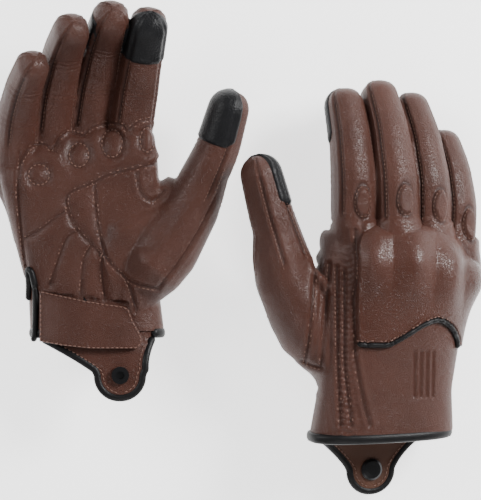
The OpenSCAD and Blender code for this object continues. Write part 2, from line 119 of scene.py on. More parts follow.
SECTION_W = {"palmup": np.array([40, 40, 39, 44, 47, 46.5, 45]),
    "palmdown": np.array([44.2, 44.2, 41.5, 44.5, 48.5, 46, 43.5])}
SECTION_H = np.array([19.2, 19.2, 18, 20, 20.8, 18.4, 13.2])
SECTION_ARCH = np.array([0, 0, 0, 5, 12, 13.5, 15])


def turn(axis, degrees):
    """Rotation matrix about one axis."""
    c, s = np.cos(np.radians(degrees)), np.sin(np.radians(degrees))
    return np.array({"x": ((1, 0, 0), (0, c, -s), (0, s, c)),
        "y": ((c, 0, s), (0, 1, 0), (-s, 0, c)),
                     "z": ((c, -s, 0), (s, c, 0), (0, 0, 1))}[axis])


def ease(x):
    """Smooth step from 0 to 1."""
    t = np.clip(x, 0, 1)
    return t * t * (3 - 2 * t)


def squared(wave, power=OVAL_POWER):
    """A cosine or sine raised to a power with its sign kept: it turns a round section squarer."""
    return np.sign(wave) * np.abs(wave) ** power


def sample(values, known, wanted):
    """Rows of values, given at known distances, read between them at the wanted distances."""
    return np.stack([np.interp(wanted, known, values[:, k]) for k in range(values.shape[1])], 1)


def run_of(path):
    """Distance walked along a path up to each of its points: the running sum of its steps."""
    return np.concatenate(([0], np.cumsum(np.linalg.norm(np.diff(path, axis=0), axis=1))))


def to_ground(glove, points):
    """From the glove's own frame to the frame both gloves lie in, millimetres."""
    tip, roll, at = LAY[glove]
    return np.asarray(points) @ (turn("x", tip) @ turn("y", roll)).T + at


def to_glove(glove, points):
    """From the shared frame back to the glove's own."""
    tip, roll, at = LAY[glove]
    return (np.asarray(points) - at) @ (turn("x", tip) @ turn("y", roll))


def finger_line(glove, finger):
    """Centre line of a finger: distance, points, and the across, upward and forward directions.

    The pitch grows by an eased step at each joint, and the line is the running sum of its cosine
    and sine."""
    root, lean, tilt, droop, bends = STANCE[glove][finger]
    first, second, last = LENGTHS[finger]
    s = np.arange(0, first + second + last + 1.0)
    pitch = np.radians(droop + bends[0] * ease((s - first + 10) / 20) + bends[1]
        * ease((s - first - second + 9) / 18))
    y = np.concatenate(([0], np.cumsum(np.cos(pitch[:-1]))))
    z = -np.concatenate(([0], np.cumsum(np.sin(pitch[:-1]))))
    own = turn("z", -lean) @ turn("y", tilt)
    zero = np.zeros_like(s)
    return {"s": s, "at": np.stack((zero, y, z), 1) @ own.T + root,
        "across": np.tile(own @ (1, 0, 0), (len(s), 1)),
            "up": np.stack((zero, np.sin(pitch), np.cos(pitch)), 1) @ own.T,
            "ahead": np.stack((zero, np.cos(pitch), -np.sin(pitch)), 1) @ own.T}


def hinge_at(finger):
    """Distance of the bending joint from the finger's root."""
    return LENGTHS[finger][0] + (LENGTHS[finger][1] if finger == "thumb" else 0)


LINES = {g: {f: finger_line(g, f) for f in FINGERS} for g in LAY}

# The leather body of the glove: panels of thin dressed cowhide sewn over the hand's shape. It is
# worked out as closed swells for the hand, the ball of the thumb, the web and the five stalls,
# which are melted into one skin and then cut where the stalls begin.
SKIN_STEP = 1.05


def ring_grid(centres, across, up, half_w, half_h, count=36, square=0.86):
    """Rings of a rounded-square section, carried along centres: cos and sin raised to a power."""
    a = np.linspace(0, 2 * np.pi, count, endpoint=False)
    c, s = np.cos(a), np.sin(a)
    c, s = squared(c, square), squared(s, square)
    return (centres[:, None] + across[:, None] * (half_w[:, None] * c)[..., None]
            + up[:, None] * (half_h[:, None] * s)[..., None])


def closed_tube(rings):
    """Vertices and faces of a stack of rings with both ends closed."""
    m, n = rings.shape[:2]
    i, j = np.meshgrid(np.arange(m - 1), np.arange(n), indexing="ij")
    k = (j + 1) % n
    quads = np.stack((i * n + j, i * n + k, (i + 1) * n + k, (i + 1) * n + j), -1).reshape(-1, 4)
    return rings.reshape(-1, 3), [*quads.tolist(), list(range(n))[::-1],
        list(range((m - 1) * n, m * n))]


def stall_rings(glove, finger, start):
    """A finger or thumb stall: round section, narrowing to a dome at the tip."""
    line = LINES[glove][finger]
    keep = line["s"] >= start
    at, ac, up, ah = (line[k][keep] for k in ("at", "across", "up", "ahead"))
    s = line["s"][keep]
    first, end = LENGTHS[finger][0], line["s"][-1]
    r = np.interp(s, (0, first, end), WIDTHS[finger])
    dome = np.radians(np.array((15, 30, 45, 58, 70, 80, 87)))
    at = np.concatenate((at[:1] - ah[:1] * 14, at, at[-1] + ah[-1]
        * (WIDTHS[finger][2] * np.sin(dome))[:, None]))
    r = np.concatenate((r[:1] * 0.9, r, WIDTHS[finger][2] * np.cos(dome) ** 0.9))
    grow = lambda v: np.concatenate((v[:1], v, np.tile(v[-1], (len(dome), 1))))
    return ring_grid(at, grow(ac), grow(up), r, r)


def hand_rings(glove):
    """The hand from the cuff to the finger roots: a flattened oval, its edges dropped over the arch."""
    y = np.concatenate((np.arange(-18, 114, 4.0), (117, 119, 120.5)))
    fade = np.concatenate((np.ones(len(y) - 2), (0.9, 0.7)))
    a = np.linspace(0, 2 * np.pi, 96, endpoint=False)
    c, s = np.cos(a), np.sin(a)
    w, h = np.interp(y, SECTION_Y, SECTION_W[glove]) * fade ** 0.3, np.interp(y, SECTION_Y,
        SECTION_H) * fade
    u = squared(c)
    x = np.interp(y, SECTION_Y, SECTION_X[glove])[:, None] + w[:, None] * u
    z = h[:, None] * squared(s) - np.interp(y, SECTION_Y, SECTION_ARCH)[:, None] * u ** 2
    drop = 10 * ease((x - 24) / 34) * ease((y[:, None] / HAND_L - 0.72) / 0.28)
    return np.stack((x, y[:, None] - drop, z), -1)


def swell_rings(points, half_w, half_h, across, up):
    """A swell carried along a few points, each with its own half width and height."""
    t = np.linspace(0, len(points) - 1, 30)
    row = lambda v: np.interp(t, np.arange(len(points)), v)
    centres = sample(np.asarray(points, float), np.arange(len(points)), t)
    return ring_grid(centres, np.tile(across, (30, 1)), np.tile(up, (30, 1)), row(half_w),
        row(half_h))


def thumb_swells(glove):
    """The ball of the thumb, from the wrist into the stall, and the web towards the index finger."""
    line = LINES[glove]["thumb"]
    root, mid = line["at"][20], line["at"][44]
    ac, up = line["across"][0], line["up"][0]
    lean = np.radians(STANCE[glove]["thumb"][1])
    out = np.array((-np.cos(lean), np.sin(lean), 0))
    if glove == "palmup":
        ball = [(-14, 10, -3), (-20, 26, -6), line["at"][0] - (0, 0, 2) + 6 * out, line["at"][16]
            + 6.5 * out,
                line["at"][48] + 3.5 * out, line["at"][76]]
        wide = [13, 17.5, 19, 18.5, 15.2, 12.4]
    else:
        ball = [(-18, 24, -3), (-24, 40, -6), line["at"][2] + 2.5 * out, line["at"][20] + 4.5 * out,
                line["at"][42] + 5.5 * out, line["at"][60] + 3.5 * out, line["at"][76]]
        wide = [13, 16.5, 18, 18, 16.8, 14.8, 12.4]
    ball = swell_rings(ball, wide, np.array(wide) * 0.96, ac, up)
    side = np.array((-30, 94 if glove == "palmdown" else 91, -8))
    web = swell_rings([(-16, 66, -6), mid * 0.35 + side * 0.65 + (4, -8, 2), mid * 0.72 + side
        * 0.28],
                      [20, 17, 9], [13, 10, 8], np.array((0.5, -0.86, 0)), np.array((0, 0, 1)))
    heel = swell_rings([(-4, 16, -4), (-10, 36, -7), (-17, 56, -9), mid * 0.75 + (-4, 14, -3)],
                       [12, 17, 17, 9], [13, 16.5, 16, 9], np.array((0.8, 0.6, 0)),
                       np.array((0, 0, 1)))
    return [ball, web, heel]


def melted_skin(glove):
    """One smooth closed skin from the overlapping swells: points in the glove's frame and quads."""
    tubes = [hand_rings(glove), *thumb_swells(glove)]
    tubes += [stall_rings(glove, f, 0 if f != "thumb" else 14) for f in FINGERS]
    points, faces, n = [], [], 0
    for rings in tubes:
        p, f = closed_tube(rings)
        points.append(p)
        faces += [[k + n for k in face] for face in f]
        n += len(p)
    mesh = bpy.data.meshes.new("swells")
    mesh.from_pydata(np.concatenate(points).tolist(), [], faces)
    body = bpy.data.objects.new("swells", mesh)
    bpy.context.collection.objects.link(body)
    melt = body.modifiers.new("melt", "REMESH")
    melt.mode, melt.voxel_size = "VOXEL", SKIN_STEP
    done = body.evaluated_get(bpy.context.evaluated_depsgraph_get()).to_mesh()
    at = np.empty(len(done.vertices) * 3)
    done.vertices.foreach_get("co", at)
    quads = np.empty(len(done.loops), int)
    done.loops.foreach_get("vertex_index", quads)
    body.evaluated_get(bpy.context.evaluated_depsgraph_get()).to_mesh_clear()
    bpy.data.objects.remove(body)
    bpy.data.meshes.remove(mesh)
    return at.reshape(-1, 3), quads.reshape(-1, 4)


def relaxed(at, quads, rounds):
    """Every point moves half way to the middle of its neighbours, a number of times."""
    a = quads.ravel()
    b = np.roll(quads, -1, 1).ravel()
    i, j = np.concatenate((a, b)), np.concatenate((b, a))
    count = np.bincount(i, minlength=len(at))[:, None]
    for _ in range(rounds):
        mid = np.stack([np.bincount(i, at[j, k], len(at)) for k in range(3)], 1) / count
        at = at + 0.5 * (mid - at)
    return at


def point_normals(at, quads):
    """Normal of each point: the sum of its quads' diagonals' cross products."""
    n = np.cross(at[quads[:, 2]] - at[quads[:, 0]], at[quads[:, 3]] - at[quads[:, 1]])
    total = np.stack([np.bincount(quads.ravel(), np.repeat(n[:, k], 4), len(at)) for k in range(3)],
        1)
    return total / np.maximum(np.linalg.norm(total, axis=1, keepdims=True), 1e-9)


def finger_place(glove, points):
    """Which finger each point is on, how far along it, and how far off its centre in radii."""
    best = np.full(len(points), 9.0)
    which, along = np.full(len(points), -1), np.zeros(len(points))
    for k, f in enumerate(FINGERS):
        line = LINES[glove][f]
        d = np.linalg.norm(points[:, None] - line["at"][None, ::3], axis=2)
        near = d.argmin(1)
        s = line["s"][::3][near]
        ratio = d[np.arange(len(points)), near] / np.interp(s, (0, LENGTHS[f][0], line["s"][-1]),
            WIDTHS[f])
        hit = ratio < best
        best[hit], which[hit], along[hit] = ratio[hit], k, s[hit]
    return which, along, best


SKIN = {}
for glove in LAY:
    at, quads = melted_skin(glove)
    at = relaxed(at, quads, int(9 / SKIN_STEP))
    at = at + 0.35 * point_normals(at, quads)
    tree = BVHTree.FromPolygons(to_ground(glove, at).tolist(), quads.tolist())
    SKIN[glove] = {"at": at, "quads": quads, "tree": tree}


def leather_finish(name, colour, dark, roughness, grain, bump):
    """Dressed leather: blotches of two browns, a pebble grain of small cells and finer creases, with painted shade
    multiplied into the colour along the seam grooves from a point attribute.
    """
    finish = bpy.data.materials.new(name)
    finish.use_nodes = True
    nodes, link = finish.node_tree.nodes, finish.node_tree.links.new
    node = lambda kind: nodes.new("ShaderNode" + kind)
    skin = nodes["Principled BSDF"]
    skin.inputs["Specular IOR Level"].default_value = 0.34
    place = node("TexCoord")
    blotch = node("TexNoise")
    blotch.inputs["Scale"].default_value = 38
    blotch.inputs["Detail"].default_value = 5
    cells = node("TexVoronoi")
    cells.feature = "DISTANCE_TO_EDGE"
    cells.inputs["Scale"].default_value = grain
    fine = node("TexNoise")
    fine.inputs["Scale"].default_value = grain * 1.7
    fine.inputs["Detail"].default_value = 6
    warp = node("TexNoise")
    warp.inputs["Scale"].default_value = grain * 0.6
    bend = node("VectorMath")
    bend.operation = "MULTIPLY_ADD"
    bend.inputs[1].default_value = (0.0012, 0.0012, 0.0012)
    # painted shade: a point attribute that darkens the leather in the seam grooves, beside the guard's piping and
    # round the knuckle pads
    shade = node("Attribute")
    shade.attribute_name = "shade"
    mix = node("Mix")
    mix.data_type = "RGBA"
    mix.inputs["A"].default_value = (*dark, 1)
    mix.inputs["B"].default_value = (*colour, 1)
    spread = node("MapRange")
    spread.inputs["From Min"].default_value, spread.inputs["From Max"].default_value = 0.3, 0.7
    # multiplies the colour by a dark brown where the painted shade is
    groove_shade_mix = node("Mix")
    groove_shade_mix.data_type, groove_shade_mix.blend_type = "RGBA", "MULTIPLY"
    groove_shade_mix.inputs["B"].default_value = (0.30, 0.22, 0.20, 1)
    groove = node("MapRange")
    groove.inputs["To Max"].default_value = 0.35
    groove.inputs["To Min"].default_value = 1
    groove.inputs["From Max"].default_value = 0.12
    folds = node("TexNoise")
    folds.inputs["Scale"].default_value = 90
    folds.inputs["Distortion"].default_value = 1.2
    crumple = node("Math")
    crumple.operation = "MULTIPLY_ADD"
    crumple.inputs[1].default_value = 1.5
    height = node("Math")
    height.operation = "MULTIPLY_ADD"
    height.inputs[1].default_value = 0.35
    relief = node("Bump")
    relief.inputs["Strength"].default_value = bump
    relief.inputs["Distance"].default_value = 0.0005
    polish = node("Attribute")
    polish.attribute_name = "polish"
    rub = node("Math")
    rub.operation = "MULTIPLY_ADD"
    rub.inputs[1].default_value = -0.13
    sheen = node("MapRange")
    sheen.inputs["To Min"].default_value, sheen.inputs["To Max"].default_value = roughness - 0.07, roughness + 0.09
    for giver, out, taker, into in (
            (place, "Object", blotch, "Vector"), (place, "Object", warp, "Vector"),
            (place, "Object", fine, "Vector"), (warp, "Color", bend, 0),
            (place, "Object", bend, 2), (bend, 0, cells, "Vector"),
            (blotch, "Fac", spread, "Value"), (spread, "Result", mix, "Factor"),
            (mix, "Result", groove_shade_mix, "A"), (shade, "Fac", groove_shade_mix, "Factor"),
            (groove_shade_mix, "Result", skin, "Base Color"), (cells, "Distance", groove, "Value"),
            (fine, "Fac", height, 0), (groove, "Result", height, 2),
            (place, "Object", folds, "Vector"), (folds, "Fac", crumple, 0),
            (height, "Value", crumple, 2), (crumple, "Value", relief, "Height"),
            (relief, "Normal", skin, "Normal"), (blotch, "Fac", sheen, "Value"),
            (polish, "Fac", rub, 0), (sheen, "Result", rub, 2),
            (rub, "Value", skin, "Roughness")):
        link(giver.outputs[out], taker.inputs[into])
    return finish


BROWN = leather_finish("brown_cowhide", (0.072, 0.0250, 0.0160), (0.054, 0.0185, 0.0118), 0.42, 900,
    0.75)


def skin_piece(name, glove, at, quads, normals, shade, finish):
    """A mesh object from the glove-frame points that the quads use, with given normals."""
    used, small = np.unique(quads, return_inverse=True)
    mesh = bpy.data.meshes.new(name)
    ground = to_ground(glove, at[used])
    ground[:, 2] = np.maximum(ground[:, 2], 0.25)
    mesh.from_pydata((ground * MM).tolist(), [], small.reshape(-1, 4).tolist())
    mesh.shade_smooth()
    tip, roll, _ = LAY[glove]
    mesh.normals_split_custom_set_from_vertices((normals[used] @ (turn("x", tip) @ turn("y",
        roll)).T).tolist())
    # the painted shade of the seam grooves goes into a point attribute that the leather colour reads
    painted_shade_layer = mesh.attributes.new("shade", "FLOAT", "POINT")
    painted_shade_layer.data.foreach_set("value", shade[used].astype(np.float32))
    rub = mesh.attributes.new("polish", "FLOAT", "POINT")
    rub.data.foreach_set("value", SKIN[glove]["polish"][used].astype(np.float32))
    mesh.materials.append(finish)
    piece = bpy.data.objects.new(name, mesh)
    bpy.context.collection.objects.link(piece)
    return piece


def follow(piece):
    """The piece stays where it is built: its transform is baked into its mesh."""
    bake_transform(piece)


def follow_finger(piece):
    """The piece stays where it is built, as with follow: its transform is baked into its mesh."""
    follow(piece)


# Seams of the hand, in millimetres on the ground where the glove that shows them lies: those of the
# back are drawn over the glove lying palm down, those of the palm over the one lying palm up.
# Each is sewn through with one or two rows of thread, and pulls the leather down along its line; painted shade
# darkens that groove.
BACK_SEAMS = {
    "index_side": [(69.2, 14.15), (71.2, -9.35), (68.7, -27.55), (69.7, -52.45), (69.2, -61.45),
    (74.2, -87.45), (78.2, -101.45)],
    "gather_outer": [(58.7, -7.55), (58.9, -39.85), (59.2, -67.45), (60.7, -101.45)],
    "gather_middle": [(63.2, -9.85), (63, -39.85), (63.2, -67.45), (67.2, -101.45)],
    "thumb_panel": [(46.2, -3.55), (44.2, -27.55), (42.2, -47.45), (40.2, -65.45)],
    "thumb_edge": [(54.7, -5.55), (52.2, -32.55), (49.2, -66.45)],
    "thumb_foot": [(38.2, -63.45), (44, -66.05), (50.2, -67.45)]}
PIPING = [(71, -52.45), (80.5, -53.05), (89.2, -52.65), (99.2, -47.45), (109.1, -41.45),
    (118.1, -38.45),
          (125.1, -41.45), (130.1, -48.45), (131.7, -55.85)]
SCALLOP = [(-130, 52.15), (-127.4, 57.75), (-122, 64.45), (-114.9, 65.35), (-111.1, 62.45),
    (-106, 69.65), (-100.6, 73.05),
           (-92.9, 71.15), (-88.5, 75.15), (-83.4, 77.35), (-75.7, 78.75), (-68.5, 76.65),
           (-66.1, 73.95), (-59.4, 78.75),
           (-49.5, 80.65), (-42.5, 76.15)]
PALM_SEAMS = {
    "scallop": SCALLOP,
    "band": [(-42.5, 56.15), (-48.4, 53.85), (-61.4, 51.05), (-76.7, 47.15), (-89.5, 41.15),
    (-101.6, 34.75), (-100, 22.15),
             (-94.5, 13.15), (-87.6, 5.85), (-81.5, -0.85)],
    "heel_edge": [(-85.5, 43.15), (-84.7, 30.15), (-83.5, 18.15), (-80, 2.15), (-74.7, -7.05),
    (-61.9, -17.15), (-47.2, -20.85)],
    "quilt_1": [(-100.5, 27.15), (-108.7, 21.45), (-119.7, 13.15), (-127.5, 9.15)],
    "quilt_2": [(-95.5, 14.15), (-102.5, 8.15), (-112.4, -18.05)],
    "quilt_3": [(-87.5, 5.15), (-92, -3.85), (-94, -25.45)],
    "quilt_4": [(-80, 0.15), (-81.2, -7.85), (-79.3, -28.15)],
    "quilt_5": [(-69.5, -10.85), (-64.6, -18.95), (-61, -34.55)],
    "wedge": [(-60.4, 48.15), (-59, 40.15), (-56.6, 34.75), (-50.8, 31.85), (-44.1, 38.15)],
    "thumb_outer": [(-7, 51), (-14, 33.5), (-21, 18.5), (-28.5, 5.5), (-38, -8.5), (-47, -19.5)],
    "little_side": [(-129, 60.15), (-130.8, 37.65), (-129.3, 18.15), (-127.8, 0.15),
    (-126.2, -10.75)]}
OVALS = [((-118.3, 47.15), (6.4, 6.4)), ((-94.9, 59.15), (6.0, 7.4)), ((-75.2, 66.15), (6.4, 8.6)),
    ((-54.2, 68.15), (4.4, 7.6))]


def smooth_line(points, step=0.8):
    """A Catmull-Rom curve through the points, cut again at even steps."""
    p = np.asarray(points, float)
    q = np.concatenate((2 * p[:1] - p[1:2], p, 2 * p[-1:] - p[-2:-1]))
    t = np.linspace(0, 1, 12, endpoint=False)[None, :, None]
    a, b, c, d = q[:-3, None], q[1:-2, None], q[2:-1, None], q[3:, None]
    bent = 0.5 * (2 * b + (c - a) * t + (2 * a - 5 * b + 4 * c - d) * t ** 2
        + (3 * b - a - 3 * c + d) * t ** 3)
    bent = np.concatenate((bent.reshape(-1, p.shape[1]), p[-1:]))
    run = run_of(bent)
    even = np.linspace(0, run[-1], max(3, int(run[-1] / step) + 1))
    return sample(bent, run, even)


def oval(centre, half, lean=0.0):
    """A closed oval line about a centre."""
    a = np.linspace(0, 2 * np.pi, 49)
    c, s = np.cos(lean), np.sin(lean)
    x, y = half[0] * np.cos(a), half[1] * np.sin(a)
    return np.stack((centre[0] + x * c - y * s, centre[1] + x * s + y * c), 1)


def line_distance(points, line):
    """Distance in the plane from each point to the nearest point of a line of short steps."""
    out = np.full(len(points), 99.0)
    lo, hi = line.min(0) - 12, line.max(0) + 12
    near = np.flatnonzero(((points > lo) & (points < hi)).all(1))
    for part in np.array_split(near, max(1, len(near) // 4000)):
        out[part] = np.linalg.norm(points[part, None] - line[None],
            axis=2).min(1) if len(part) else 99
    return out


def inside(points, outline):
    """Whether each point lies inside the closed outline: an odd number of crossings to its right."""
    a, b = outline, np.roll(outline, -1, 0)
    x, y = points[:, :1], points[:, 1:]
    cross = (a[:, 1] > y) != (b[:, 1] > y)
    at_x = a[:, 0] + (y - a[:, 1]) * (b[:, 0] - a[:, 0]) / np.where(b[:, 1] == a[:, 1], 1e-9,
        b[:, 1] - a[:, 1])
    return (cross & (at_x > x)).sum(1) % 2 == 1


back_lines = {k: smooth_line(v) for k, v in BACK_SEAMS.items()}
palm_lines = {k: smooth_line(v) for k, v in PALM_SEAMS.items()}
for number, (centre, half) in enumerate(OVALS):
    palm_lines[f"oval_{number}"] = oval(centre, half)
piping_line = smooth_line(PIPING)
guard_outline = np.concatenate((piping_line, [(140, -48.95), (150, 1.05), (135, 19.05),
    (100, 23.05), (74, 19.05), (70.5, -18.95)]))
pad_outline = np.concatenate((smooth_line(SCALLOP), [(-40, 61.05), (-46, 55.05), (-61.9, 51.95),
    (-77.2, 48.05), (-85, 43.05),
    (-84.8, 19.05), (-79.8, 3.05), (-75, -5.95), (-62, -15.95), (-58, -28.95), (-118, -22.95),
    (-127, -6.95), (-129, 13.05), (-131, 38.05)]))
# the bosses of the knuckle guard: middle and half sizes on the ground
BOSSES = [((80, -3.95), (9, 17)), ((104, -5.95), (10, 19)), ((125, -8.95), (8.5, 18)),
    ((139, -12.95), (6.5, 16))]

for glove in LAY:
    skin = SKIN[glove]
    at, quads = skin["at"], skin["quads"]
    normals = point_normals(at, quads)
    which, along, ratio = finger_place(glove, at)
    on_stall = (ratio < 1.45) * ease((along - np.where(which == 4, 46, 0)) / 16)
    lift, shade = np.zeros(len(at)), np.zeros(len(at))
    # back of the hand
    spot = to_ground("palmdown", at)
    facing = ease((to_ground("palmdown", normals)[:, 2] - np.array(LAY["palmdown"][2])[2]
        + 0.15) / 0.35)
    back = facing * (1 - on_stall)
    near = np.min([line_distance(spot[:, :2], v) for v in back_lines.values()], axis=0)
    guard = inside(spot[:, :2], guard_outline) * ease((34 - spot[:, 1]) / 26) * ease((spot[:, 0]
        - 69) / 3)
    boss = np.max([np.exp(-((spot[:, 0] - c[0]) / h[0]) ** 2
        - ((spot[:, 1] - c[1]) / h[1]) ** 2) for c, h in BOSSES], axis=0)
    pipe = line_distance(spot[:, :2], piping_line)
    gather = np.exp(-((spot[:, 0] - 64) / 5.5) ** 4) * ease((6 - spot[:, 1]) / 10)
    ripple = np.sin(spot[:, 1] * 1.75 + 1.3 * np.sin(spot[:, 0] * 0.7)) + 0.5 * np.sin(spot[:, 1]
        * 3.1 + spot[:, 0])
    lift += back * (guard * (2.0 * ease(pipe / 1.2) + 0.3) + 5.6 * boss
        * ease((34 - spot[:, 1]) / 26)
                    - 0.85 * np.exp(-(near / 1.0) ** 2) + 0.55 * np.exp(-((near - 2.6) / 1.6) ** 2)
                    + 0.32 * gather * ripple)
    # painted shade: darker colour in the seam grooves of the back and beside the guard's piping
    shade += back * (0.5 * np.exp(-(near / 0.75) ** 2) + 0.6 * np.exp(-(pipe / 1.3) ** 2)
        * (pipe < 4))
    ribs = ease((spot[:, 1] + 86) / 1.2) * ease((-57 - spot[:, 1]) / 1.2) * ease((spot[:, 0]
        - 103) / 1) * ease((118 - spot[:, 0]) / 1)
    lift -= back * ribs * (0.35 + 0.45 * np.cos(spot[:, 0] * 2 * np.pi / 3.75))
    # palm
    spot = to_ground("palmup", at)
    facing = ease((to_ground("palmup", normals)[:, 2] - np.array(LAY["palmup"][2])[2]
        + 0.15) / 0.35)
    palm = facing * (1 - on_stall)
    near = np.min([line_distance(spot[:, :2], v) for v in palm_lines.values()], axis=0)
    pad = inside(spot[:, :2], pad_outline)
    lift += palm * (pad * 1.5 * (1 - np.exp(-(near / 3.2) ** 1.5)) - 0.7
        * np.exp(-(near / 0.9) ** 2)
                    + 0.35 * ~pad * np.exp(-((near - 2.4) / 1.4) ** 2))
    # painted shade in the seam grooves of the palm and round the pads
    shade += palm * 0.45 * np.exp(-(near / 0.7) ** 2)
    skin.update(at=at + lift[:, None] * normals, shade=shade, polish=back * guard,
        on_stall=on_stall, which=which, along=along, ratio=ratio)

# Seams of the stalls: each finger has a back, a front and narrow side strips between them, joined
# by four seams that run from the web to the tip. The leather creases across over the joints, and
# an oval pad is sewn over each middle knuckle.
# The seam grooves of the stalls and the edges of the knuckle pads are darkened with painted shade.
STALL_SEAMS, THUMB_SEAMS = (36, 144, -50, -146), (52, 128, -8, -176)
PAD_AT, PAD_HALF = 0.52, (10.2, 5.6)


def stall_angle(glove, finger, points, along):
    """Angle round the finger of each point: 0 on the little-finger side, 90 on the back."""
    line = LINES[glove][finger]
    row = np.clip(np.rint(along).astype(int), 0, len(line["s"]) - 1)
    off = points - line["at"][row]
    return np.degrees(np.arctan2((off * line["up"][row]).sum(1),
        (off * line["across"][row]).sum(1))), np.linalg.norm(off, axis=1)


for glove in LAY:
    skin = SKIN[glove]
    at, normals = skin["at"], point_normals(skin["at"], skin["quads"])
    for k, f in enumerate(FINGERS):
        line = LINES[glove][f]
        mine = np.flatnonzero((skin["which"] == k) & (skin["ratio"] < 1.6) & (skin["along"] >= 0))
        p = at[mine]
        d = np.linalg.norm(p[:, None] - line["at"][None], axis=2)
        s = d.argmin(1).astype(float)
        angle, r = stall_angle(glove, f, p, s)
        end = line["s"][-1]
        fade = ease((s - (50 if f == "thumb" else 3)) / 6)
        seams = STALL_SEAMS if f != "thumb" else THUMB_SEAMS
        near = np.min([np.abs((angle - a + 180) % 360 - 180) for a in seams],
            axis=0) * np.pi / 180 * r
        near = near + 3 * ease((s - end + 1) / 4)
        h = hinge_at(f)
        joints = (h, h + LENGTHS[f][1]) if f != "thumb" else (h, h - 28)
        crease = sum(np.exp(-((s - j) / 6) ** 2) for j in joints) * np.sin(s * 1.55 + 0.6
            * np.sin(angle / 25))
        front = ease((-np.sin(np.radians(angle)) + 0.2) / 0.5)
        lift = fade * (-0.8 * np.exp(-(near / 0.9) ** 2) + 0.45 * np.exp(-((near - 2.3) / 1.3) ** 2)
                       + (0.05 + 0.13 * front) * crease)
        # painted shade in the seam grooves of the stall
        dark = fade * 0.8 * np.exp(-(near / 0.65) ** 2)
        if f != "thumb":
            u = (s - PAD_AT * LENGTHS[f][0]) / PAD_HALF[0]
            v = (angle - 90) * np.pi / 180 * r / PAD_HALF[1]
            q = np.sqrt(u ** 2 + v ** 2)
            lift += 1.9 * (1 - ease((q - 0.72) / 0.2)) * (np.abs(angle
                - 90) < 80) - 0.35 * np.exp(-((q - 1.02) / 0.1) ** 2)
            # painted shade in the groove round the pad's sunk edge
            dark += 0.7 * np.exp(-((q - 0.98) / 0.09) ** 2)
        at[mine] = p + lift[:, None] * normals[mine]
        skin["shade"][mine] = np.maximum(skin["shade"][mine], dark)
    skin["tree"] = BVHTree.FromPolygons(at.tolist(), skin["quads"].tolist())

STALL_START = {"index": 5, "middle": 5, "ring": 5, "little": 5, "thumb": 50}
for glove in LAY:
    skin = SKIN[glove]
    at, quads, shade = skin["at"], skin["quads"], np.clip(skin["shade"], 0, 1)
    normals = point_normals(at, quads)
    middle = at[quads].mean(1)
    which, along, ratio = finger_place(glove, middle)
    keep = middle[:, 1] > -0.5
    taken = np.zeros(len(quads), bool)
    for k, f in enumerate(FINGERS):
        mine = keep & (which == k) & (along >= STALL_START[f]) & (ratio < 1.6)
        taken |= mine
        stall = skin_piece(f"{glove}_{f}_leather", glove, at, quads[mine], normals, shade, BROWN)
        follow_finger(stall)
        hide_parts(f"{glove}_{f}_base", f"{glove}_{f}_tip")
    hand = skin_piece(f"{glove}_hand_leather", glove, at, quads[keep & ~taken], normals, shade,
        BROWN)
    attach(hand, glove + "_hand")
    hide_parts(*(f"{glove}_{n}" for n in ("back_panel", "cuff_panel", "palm_panel",
        "thumb_root",
                                                 "knuckle_guard", "knuckle_pads", "palm_pad")))

# Thread: every seam is sewn with short straight stitches of heavy dull thread, one row beside the
# seam or one on each side of it. Each stitch dips into the leather at both ends.
def thread_finish(name, colour):
    """Twisted thread: fine slanting bands along the thread's own length."""
    finish = bpy.data.materials.new(name)
    finish.use_nodes = True
    nodes, link = finish.node_tree.nodes, finish.node_tree.links.new
    node = lambda kind: nodes.new("ShaderNode" + kind)
    thread = nodes["Principled BSDF"]
    thread.inputs["Roughness"].default_value = 0.62
    place = node("TexCoord")
    bands = node("TexWave")
    bands.inputs["Scale"].default_value = 900
    tone = node("Mix")
    tone.data_type = "RGBA"
    tone.inputs["A"].default_value = (*[c * 0.7 for c in colour], 1)
    tone.inputs["B"].default_value = (*colour, 1)
    for giver, out, taker, into in (
            (place, "Object", bands, "Vector"), (bands, "Fac", tone, "Factor"),
            (tone, "Result", thread, "Base Color")):
        link(giver.outputs[out], taker.inputs[into])
    return finish


THREAD = thread_finish("brown_thread", (0.19, 0.098, 0.073))


def grid_piece(name, points, quads, finish, glove=None):
    """A mesh object from points in millimetres: in the glove's frame if one is given."""
    mesh = bpy.data.meshes.new(name)
    points = to_ground(glove, points) if glove else points
    mesh.from_pydata((points * MM).tolist(), [], quads)
    mesh.shade_smooth()
    mesh.materials.append(finish)
    piece = bpy.data.objects.new(name, mesh)
    bpy.context.collection.objects.link(piece)
    return piece


def cast(tree, starts, ways):
    """The first point of the skin from each start along its way, and the normal there."""
    hits = [tree.ray_cast(Vector(a), Vector(b)) for a, b in zip(starts, ways)]
    good = np.array([h[0] is not None for h in hits])
    at = np.array([tuple(h[0]) if h[0] is not None else (0, 0, 0) for h in hits])
    normal = np.array([tuple(h[1]) if h[0] is not None else (0, 0, 1) for h in hits])
    return at, normal, good


def on_skin(glove, drawn_over, flat):
    """Points drawn on the ground plane over one glove, laid on the same place of the other's skin."""
    top = np.column_stack((flat, np.full(len(flat), 140.0)))
    starts = to_glove(drawn_over, top)
    down = to_glove(drawn_over, top - (0, 0, 1)) - starts
    at, normal, good = cast(SKIN[glove]["tree"], starts, down)
    return at, normal, good & ((normal * down).sum(1) < -0.3)


